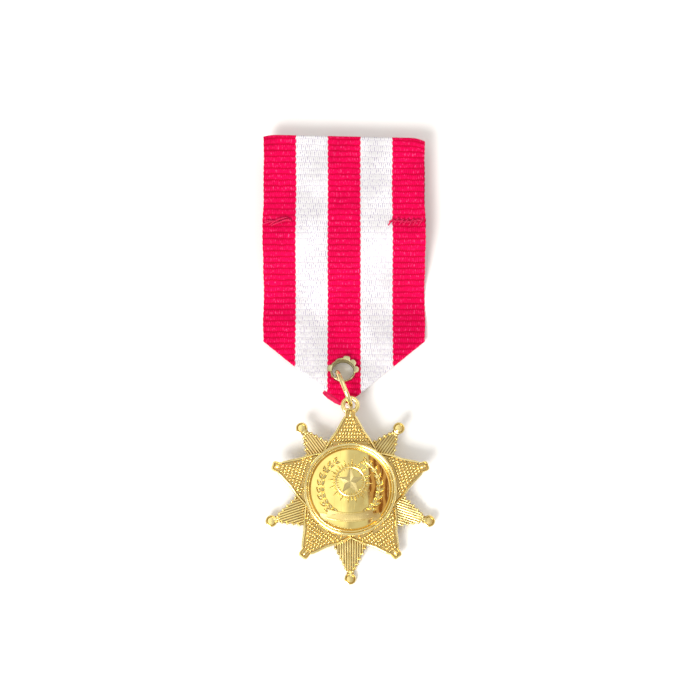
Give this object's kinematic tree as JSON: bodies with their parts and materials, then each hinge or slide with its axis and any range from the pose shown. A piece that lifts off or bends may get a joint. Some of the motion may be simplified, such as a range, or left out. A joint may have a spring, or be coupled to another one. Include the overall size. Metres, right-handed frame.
{
  "type": "military service medal",
  "caption": "Star medal with a domed-rim centre disc, hanging by a loop, a jump ring and an eyelet from a striped ribbon that is folded to a point and backed by a brooch pin.",
  "frame": {"origin": "middle of the medal's outline, on the surface that it lies on", "axes": "+Z out of the medal's front, +Y from the star towards the ribbon's top fold, +X to the right as the front is seen"},
  "size_m": [0.0366, 0.0966, 0.0077],
  "materials": {
    "ribbon": "ribbed woven ribbon, crimson with two white stripes",
    "red_thread": "loose sewing thread, crimson",
    "gold": "polished gold plating over die-struck brass",
    "mirror_gold": "mirror-polished gold plating",
    "pale_brass": "dull pale brass",
    "pin_metal": "nickel plating, lightly worn"
  },
  "bodies": {
    "brooch": {"ribbon_sleeve": "ribbon", "tack_left": "red_thread", "tack_right": "red_thread", "plate_thread_left": "red_thread", "plate_thread_right": "red_thread", "pin_plate": "pin_metal", "hinge_rivet": "pin_metal", "catch_body": "pin_metal"},
    "drop": {"ribbon_drop": "ribbon", "eyelet": "pale_brass"},
    "ring": {"jump_ring": "gold"},
    "star": {"suspension_loop": "gold", "ribbed_star": "gold", "pebbled_star": "gold", "bezel_ring": "gold", "centre_disc": "mirror_gold", "rivet_left": "gold", "rivet_right": "gold"},
    "needle": {"pin_needle": "pin_metal"},
    "lock": {"catch_lock": "pin_metal"}
  },
  "joints": [
    {"name": "ribbon_flex", "type": "hinge", "parent": "brooch", "child": "drop", "pos_m": [-0.00067, 0.02675, 0.0056], "axis": [1, 0, 0], "range_deg": [-90, 90]},
    {"name": "ring_sway", "type": "hinge", "parent": "drop", "child": "ring", "pos_m": [-0.00201, -0.00405, 0.00254], "axis": [0, 0.1736, 0.9848], "range_deg": [-60, 15]},
    {"name": "star_swing", "type": "hinge", "parent": "ring", "child": "star", "pos_m": [0.00072, -0.01082, 0.00506], "axis": [0, -0.1149, 0.9934], "range_deg": [-15, 60]},
    {"name": "pin_open", "type": "hinge", "parent": "brooch", "child": "needle", "pos_m": [-0.00967, 0.04, 0.00165], "axis": [0, 1, 0], "range_deg": [0, 100]},
    {"name": "catch_turn", "type": "hinge", "parent": "brooch", "child": "lock", "pos_m": [0.00713, 0.04, 0.00165], "axis": [1, 0, 0], "range_deg": [0, 120]}
  ]
}
